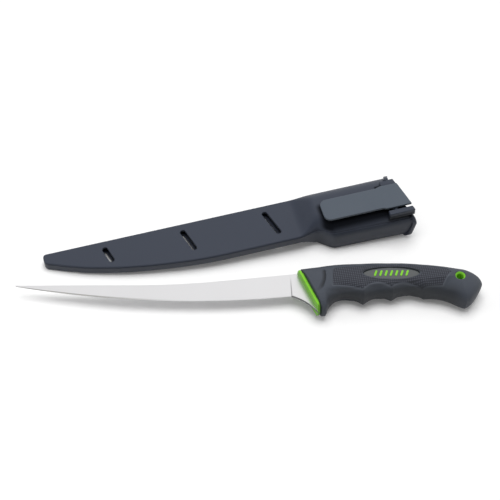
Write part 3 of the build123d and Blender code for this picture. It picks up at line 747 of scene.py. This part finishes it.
def shell_ring(x, inset, steps):
    """Rounded section of the outside (inset 0) or of the room inside (inset 1)."""
    grown = cosine_step((x - flat_end) / (swell_end - flat_end))
    wall = inset * (side_wall + (mouth_wall - side_wall) * grown)
    near, far = near_line(x) + wall, far_edge - wall
    flat = pocket_half if inset else flat_half
    half = flat + (mouth_half - mouth_wall * inset - flat) * grown
    top = low = edge_radius * (1 - inset / 2)
    top += (12 - mouth_wall * inset - top) * grown
    low += (3 - mouth_wall * inset - low) * grown
    if not inset:
        near, far = near + rounding(x, nose_radius), far - rounding(x, nose_radius)
        if x < edge_radius:
            half -= rounding(x, edge_radius)
            top = low = min(top, half * 0.9)
    points = []
    for cy, cz, radius, start in ((near + top, half - top, top, pi), (far - top, half - top, top, pi / 2),
                                  (far - low, low - half, low, 0), (near + low, low - half, low, -pi / 2)):
        for a in np.linspace(start, start - pi / 2, steps):
            points.append((cy + radius * cos(a), cz + radius * sin(a)))
    return np.array(points)


seam_depth, seam_half, seam_gap = 0.45, 0.42, 0.1
seam_steps = np.array([0, 0.12, 0.26, 0.42, 0.62, 0.85, 1.1, 1.4, 1.8, 2.4, 3.2, 4.2, 5.6, 7.2, 9.0, 11, 13])


def seamed_ring(x):
    """Outer section with its points gathered at the seam, and a groove there."""
    dense = shell_ring(x, 0, 24)
    height = min(float(parting(x)), dense[:, 1].max() * 0.7)
    crossings, count = [], len(dense)
    for k in range(count):
        a, b = dense[k], dense[(k + 1) % count]
        if (a[1] - height) * (b[1] - height) < 0 or a[1] == height:
            share = (height - a[1]) / (b[1] - a[1])
            crossings.append((k, a + (b - a) * share))
    crossings.sort(key=lambda item: item[1][0])
    (k_near, near), (k_far, far) = crossings[0], crossings[-1]

    def walk(k0, start, k1, end):
        """The section from one crossing of the seam to the other."""
        line = [start]
        k = (k0 + 1) % count
        while True:
            line.append(dense[k])
            if k == k1:
                break
            k = (k + 1) % count
        line.append(end)
        return np.array(line)

    ring = []
    for line in (walk(k_near, near, k_far, far), walk(k_far, far, k_near, near)):
        spans = np.concatenate([[0], np.cumsum(np.linalg.norm(np.diff(line, axis=0), axis=1))])
        total = spans[-1]
        steps = seam_steps * min(1.0, 0.42 * total / seam_steps[-1])
        middle = np.linspace(steps[-1], total - steps[-1], 10)[1:-1]
        wanted = np.concatenate([steps, middle, total - steps[::-1]])[:-1]
        share = np.clip(1 - np.minimum(wanted, total - wanted) / seam_half, 0, 1)
        depth = seam_depth * share * min(1.0, x / 1.5)
        here, ahead, behind = (
            np.stack([np.interp(np.clip(wanted + step, 0, total), spans, line[:, k]) for k in (0, 1)], 1)
            for step in (0, 0.05, -0.05))
        way = ahead - behind
        way /= np.maximum(np.linalg.norm(way, axis=1, keepdims=True), 1e-9)
        inward = np.stack([way[:, 1], -way[:, 0]], 1)
        ring.append(here + inward * depth[:, None])
    return np.concatenate(ring)


def as_points(x, section, slant=0.0):
    """A section stood at x, slanted towards the mouth's end."""
    return [(x - slant * (sheath_length - mouth_end(y, w)), y, w) for y, w in section]


outer_xs = np.concatenate([edge_radius * (1 - np.cos(np.linspace(0.12, pi / 2, 8))), np.linspace(1.2, 2.6, 6),
                           np.linspace(3.6, flat_end, 120), np.linspace(185, 212, 54),
                           np.linspace(214, 236, 10), np.linspace(238, 270.7, 24)])
outer_rings = [as_points(x, seamed_ring(x), ramp(x, 236, 270.7)) for x in outer_xs]
inner_xs = np.concatenate([np.linspace(2.05, 182, 90), np.linspace(183, 212, 44), np.linspace(214, 276, 14)])
inner_rings = [as_points(x, shell_ring(x, 1, 12)) for x in inner_xs]

satin_plastic, shader, wire = finish("satin_plastic", Specular_IOR_Level=0.48, Specular_Tint=(0.92, 0.95, 1, 1))
tone = wire.noise(9, 3.0)
patch = wire.noise(55, 4.0)
grain = wire.noise(2600, 3.0)
spot = wire.spot(sheath_frame)
along, across, height = spot.part(0), spot.part(1), spot.part(2)


def beyond(place, low, high):
    """How far a place lies outside a span, or 0 inside it."""
    return wire.maths("MAXIMUM", wire.maths("ABSOLUTE", place - (low + high) / 2) - (high - low) / 2, 0.0)


def painted_shadow_patch(x0, x1, y0, y1, fade):
    """1 over a rectangle of painted shadow on the sheath's face, fading to 0 around it."""
    past_x, past_y = beyond(along, x0, x1), beyond(across, y0, y1)
    return 1 - wire.maths("SQRT", past_x * past_x + past_y * past_y).step(0.0, fade)


# Painted shadow under the clip's plate and beside the two lugs, on the cover's top face only.
shadow_under_clip = painted_shadow_patch(0.2045, 0.266, -0.0362, -0.0185, 0.0048)
shadow_by_near_lug = painted_shadow_patch(0.2515, 0.2665, -0.0405, -0.038, 0.0035)
shadow_by_far_lug = painted_shadow_patch(0.2485, 0.2515, -0.0145, -0.0115, 0.0016)
painted_sheath_shadow = wire.maths("MAXIMUM", wire.maths("MAXIMUM", shadow_under_clip, shadow_by_near_lug), shadow_by_far_lug)
painted_sheath_shadow = painted_sheath_shadow * height.step(0.005, 0.008) * (1 - height.step(0.0126, 0.0142))
plain_plastic_colour = (tone * 0.7 + patch * 0.3).mix((0.025, 0.031, 0.047, 1), (0.033, 0.039, 0.057, 1))
wire.put(shader.inputs["Base Color"], plain_plastic_colour)
wire.put(shader.inputs["Roughness"], 0.36 + patch * 0.12 + grain * 0.06)
wire.put(shader.inputs["Normal"], wire.bump(grain, 0.2, 0.00008))
# The painted shadow is a near-black, dull shader mixed over the plastic.
painted_shadow_colour = (0.003, 0.0035, 0.005, 1)
painted_shadow_shader = wire.node("BsdfPrincipled", None, {"Base Color": painted_shadow_colour, "Roughness": 0.8, "Specular IOR Level": 0.06})
plastic = Wire(wire.tree, shader.outputs[0])
with_painted_shadow = wire.node("MixShader", None, {0: painted_sheath_shadow * 0.92, 1: plastic, 2: painted_shadow_shader})
wire.put(wire.tree.nodes["Material Output"].inputs["Surface"], with_painted_shadow)


def seam_cutter(side):
    """Everything above or below the seam's surface, but for half of its gap."""
    rings = []
    for x in np.concatenate([np.linspace(-5, 184, 20), np.linspace(186, 211, 26), np.linspace(213, 285, 6)]):
        w = float(parting(x)) + side * seam_gap / 2
        rings.append([(x, -70, w), (x, 30, w), (x, 30, side * 60), (x, -70, side * 60)][::side])
    return skin("seam_cutter", rings, satin_plastic)


def slot_cutter(length, station):
    """A slot's room, narrower in the base, with a fine chamfer where it leaves both faces."""
    x = sheath_length * station + length * sin(slot_lean) / 2
    y = far_edge - slot_margin - length * cos(slot_lean) / 2
    a = slot_lean - pi / 2
    face, start = flat_half + 0.01, flat_half - chamfer
    rings = []
    for w, grow, shut in ((-8, chamfer, base_shut), (-face, chamfer, base_shut), (-start, 0, base_shut),
                          (-pocket_half, 0, base_shut), (pocket_half, 0, 0), (start, 0, 0),
                          (face, chamfer, 0), (8, chamfer, 0)):
        ring = []
        for px, py, nx, ny in stadium(length + 1.4, slot_width - shut, 16):
            px, py = px + nx * grow, py + ny * grow
            ring.append((x - shut / 2 + px * cos(a) - py * sin(a), y + px * sin(a) + py * cos(a), w))
        rings.append(ring)
    return skin("slot_cutter", rings, satin_plastic)


slot_lean, slot_margin, slot_width, base_shut, chamfer = radians(17.3), 6.6, 4.0, 1.2, 0.3
drain_half, drain_near, drain_far = 3.2, -4.2, -0.6
shell = skin("sheath_shell", outer_rings, satin_plastic)
carve(shell, skin("room_cutter", inner_rings, satin_plastic))
for length, station in ((13.5, 0.1645), (19.6, 0.379), (22.0, 0.608)):
    carve(shell, slot_cutter(length, station))
for side, name in ((1, "cover"), (-1, "base")):
    half_shell = shell.copy()
    half_shell.data = shell.data.copy()
    half_shell.name = "sheath_" + name + "_shell"
    scene.collection.objects.link(half_shell)
    if side < 0:
        drain = [[(-drain_half, drain_near, z), (drain_half, drain_near, z),
                  (drain_half, drain_far, z), (-drain_half, drain_far, z)] for z in (-1.8, 6)]
        carve(half_shell, skin("drain_cutter", drain, satin_plastic))
    carve(half_shell, seam_cutter(side), "INTERSECT")
    crease(half_shell, 34)
    seat(half_shell, sheath_frame, "sheath", "sheath_plastic", "sheath_" + name)
bpy.data.meshes.remove(shell.data)

# The rim round the mouth is part of both shells. It has rounded lips, and it
# leaves off under the clip.
rim_profile = [(0.0, -1.1), (0.0, 0.85), (-0.1, 1.12), (-0.38, 1.3), (-2.7, 1.3), (-3.05, 1.15), (-3.2, 0.85),
               (-3.2, -0.9), (-2.6, -1.15), (-0.3, -1.4), (-0.08, -1.32)]
section = shell_ring(267, 0, 22)
rim_points = []
for k, (y, w) in enumerate(section):
    way = section[(k + 1) % len(section)] - section[k - 1]
    way /= max(np.linalg.norm(way), 1e-9)
    bay = float(ramp(y, -40.4, -39.4) * (1 - ramp(y, -7.2, -6.2))) if w > 0 else 0.0
    for back_step, out in rim_profile:
        py, pw = section[k] + np.array([-way[1], way[0]]) * (out - bay * max(out + 0.1, 0))
        rim_points.append((mouth_end(y, w) + back_step, py, pw))
for side, name in ((1, "cover"), (-1, "base")):
    rim_faces = loop_faces(len(section), len(rim_profile))
    rim = mesh_object("sheath_" + name + "_rim", rim_points, rim_faces, satin_plastic)
    carve(rim, seam_cutter(side), "INTERSECT")
    crease(rim, 34)
    seat(rim, sheath_frame, "sheath", "sheath_plastic")


# Lugs. Two ears moulded on the cover stand on their roots beside the clip's
# root and hold its pin. Their ends lean like the clip's end.
pin_x, pin_start, pin_height, clip_width = 256.3, -36.2, 14.5, 21.4
clip_lean, lug_top, lug_end = tan(radians(12)), 15.9, 268.2


def rounded_block(name, low, high, radius, material, lean=0.0):
    """A block with rounded edges, whose far end may lean."""
    (x0, y0, z0), (x1, y1, z1) = low, high
    left, right, near, far = x0 + radius, x1 - radius, y0 + radius, y1 - radius
    outline = arc(right, far, radius, 0, pi / 2, 5) + arc(left, far, radius, pi / 2, pi, 5)
    outline += arc(left, near, radius, pi, 3 * pi / 2, 5) + arc(right, near, radius, 3 * pi / 2, 2 * pi, 5)
    rings = [[(x - lean * (y - pin_start) * (x - x0) / (x1 - x0), y, z) for x, y, z in ring]
             for ring in rounded_slab(outline, z0, z1, radius)]
    return skin(name, rings, material)


for name, low, high, lean in (("near_lug", (250.2, -41.7, 10.3), (lug_end, -37.6, lug_top), clip_lean),
                              ("near_lug_root", (250.2, -39.8, 4.5), (266.6, -37.6, 12), 0),
                              ("far_lug", (252.0, -14.3, 11.3), (lug_end, -9.1, lug_top), clip_lean),
                              ("far_lug_root", (252.0, -14.3, 4.5), (261.4, -9.1, 12), 0)):
    lug = rounded_block(name, low, high, 0.6, satin_plastic, lean)
    crease(lug, 50)
    seat(lug, sheath_frame, "sheath", "sheath_plastic")


# Clip pin. A thin pin through both lugs and the clip's knuckle, headed with a
# dome on the far side.
head_radius, head_height, head_from = 1.9, 1.2, 27.1
bulge = (head_radius**2 + head_height**2) / (2 * head_height)
pin_profile = [(0.6, -5.5), (0.8, -5.3), (0.8, 27.0), (head_radius, head_from)]
pin_profile += [(bulge * sin(a), head_from + head_height - bulge + bulge * cos(a))
                for a in np.linspace(asin(head_radius / bulge) - 0.02, 0.0, 9)[:-1]]
pin = skin("clip_pin_headed", [circle(radius, 32, height) for radius, height in pin_profile], satin_plastic)
crease(pin, 40)
pin_foot = Matrix.Translation((0.001 * pin_x, 0.001 * pin_start, 0.001 * pin_height))
pin_place = sheath_frame @ pin_foot @ Matrix.Rotation(radians(-90), 4, "X")
seat(pin, pin_place, "sheath", "sheath_plastic", "clip_pin")


# Belt clip. A springy plate of lighter plastic with a round free end, a bead
# under it that grips the belt, and a knuckle that turns on the pin.
grey_plastic, shader, wire = finish("grey_clip_plastic", Specular_IOR_Level=0.5)
tone = wire.noise(30, 3.0)
grain = wire.noise(2600, 3.0)
scuff = wire.noise(300, 5.0, (1, 0.25, 1))
wire.put(shader.inputs["Base Color"], tone.mix((0.057, 0.072, 0.094, 1), (0.067, 0.083, 0.106, 1)))
wire.put(shader.inputs["Roughness"], 0.4 + scuff * 0.12)
wire.put(shader.inputs["Normal"], wire.bump(grain, 0.16, 0.00007))

clip_middle = pin_start + clip_width / 2
clip_front, clip_low, clip_high, round_end, face_middle = 203.6, 15.3, 17.1, 5.2, 235
near_y, far_y = clip_middle - 9.6, clip_middle + 9.6
root_near, root_far = pin_start, pin_start + clip_width


def clip_end(y):
    """The clip's end over the mouth, which leans."""
    return lug_end - (y - pin_start) * clip_lean


def widening(y, root_y, xs):
    """An edge of the clip where its tongue widens into its root."""
    return [(x, y + (root_y - y) * float(ramp(x, 246.6, 250.6))) for x in xs]


free_end = arc(clip_front + round_end, far_y - round_end, round_end, pi / 2, pi, 10)
free_end += arc(clip_front + round_end, near_y + round_end, round_end, pi, 3 * pi / 2, 10)
plan = [(x, y) for x, y, _, _ in free_end]
plan += [(x, near_y) for x in np.linspace(212, 246, 12)]
plan += widening(near_y, root_near, np.linspace(246.6, 250.6, 6))
plan += [(x, root_near) for x in (254, 260, 265)]
plan += [(clip_end(root_near) - 0.3, root_near), (clip_end(root_near), root_near + 0.3)]
plan += [(clip_end(y), y) for y in np.linspace(root_near + 2, root_far - 2, 7)]
plan += [(clip_end(root_far), root_far - 0.3), (clip_end(root_far) - 0.3, root_far)]
plan += [(x, root_far) for x in (260, 256, 252.6)]
plan += widening(far_y, root_far, np.linspace(250.6, 246.6, 6))
plan += [(x, far_y) for x in np.linspace(246, 212, 12)]
plan = np.array(plan)
ways = np.roll(plan, -1, 0) - np.roll(plan, 1, 0)
ways /= np.maximum(np.linalg.norm(ways, axis=1, keepdims=True), 1e-9)
plan_ring = np.hstack([plan, np.stack([ways[:, 1], -ways[:, 0]], 1)])


def drawn_in(share, height):
    """The clip's outline, shrunk about the middle of its face."""
    return [(face_middle + (x - face_middle) * share, clip_middle + (y - clip_middle) * share, height)
            for x, y in plan]


clip_rings = [drawn_in(share, clip_low) for share in (0.2, 0.5, 0.8)]
clip_rings += rounded_slab(plan_ring, clip_low, clip_high, 0.38)
clip_rings += [drawn_in(share, clip_high) for share in (0.8, 0.5, 0.2)]
clip = skin("belt_clip_plate", clip_rings, grey_plastic)
crease(clip, 55)
seat(clip, sheath_frame, "clip", "clip_plastic", "belt_clip")
bead_low, bead_high = (206.6, clip_middle - 4.4, 12.8), (211.0, clip_middle + 4.4, 16.5)
bead = rounded_block("clip_bead", bead_low, bead_high, 1.2, grey_plastic)
crease(bead, 60)
seat(bead, sheath_frame, "clip", "clip_plastic")
knuckle_radius = 1.7
knuckle_ring = arc(0, 0, knuckle_radius, 0, 2 * pi, 33)[:-1]
knuckle = skin("clip_knuckle", rounded_slab(knuckle_ring, 0.0, clip_width, 0.25, 4), grey_plastic)
bore_radius = 0.86
pin_bore = [circle(bore_radius, 32, -2), circle(bore_radius, 32, 24)]
carve(knuckle, skin("bore_cutter", pin_bore, grey_plastic))
crease(knuckle, 50)
seat(knuckle, pin_place, "clip", "clip_plastic")
web_low, web_high = (pin_x - knuckle_radius, root_near, pin_height), (pin_x + knuckle_radius, root_far, 15.6)
web = rounded_block("clip_web", web_low, web_high, 0.2, grey_plastic)
cutter = skin("bore_cutter", pin_bore, grey_plastic)
cutter.matrix_world = sheath_frame.inverted() @ pin_place
carve(web, cutter)
crease(web, 50)
seat(web, sheath_frame, "clip", "clip_plastic")
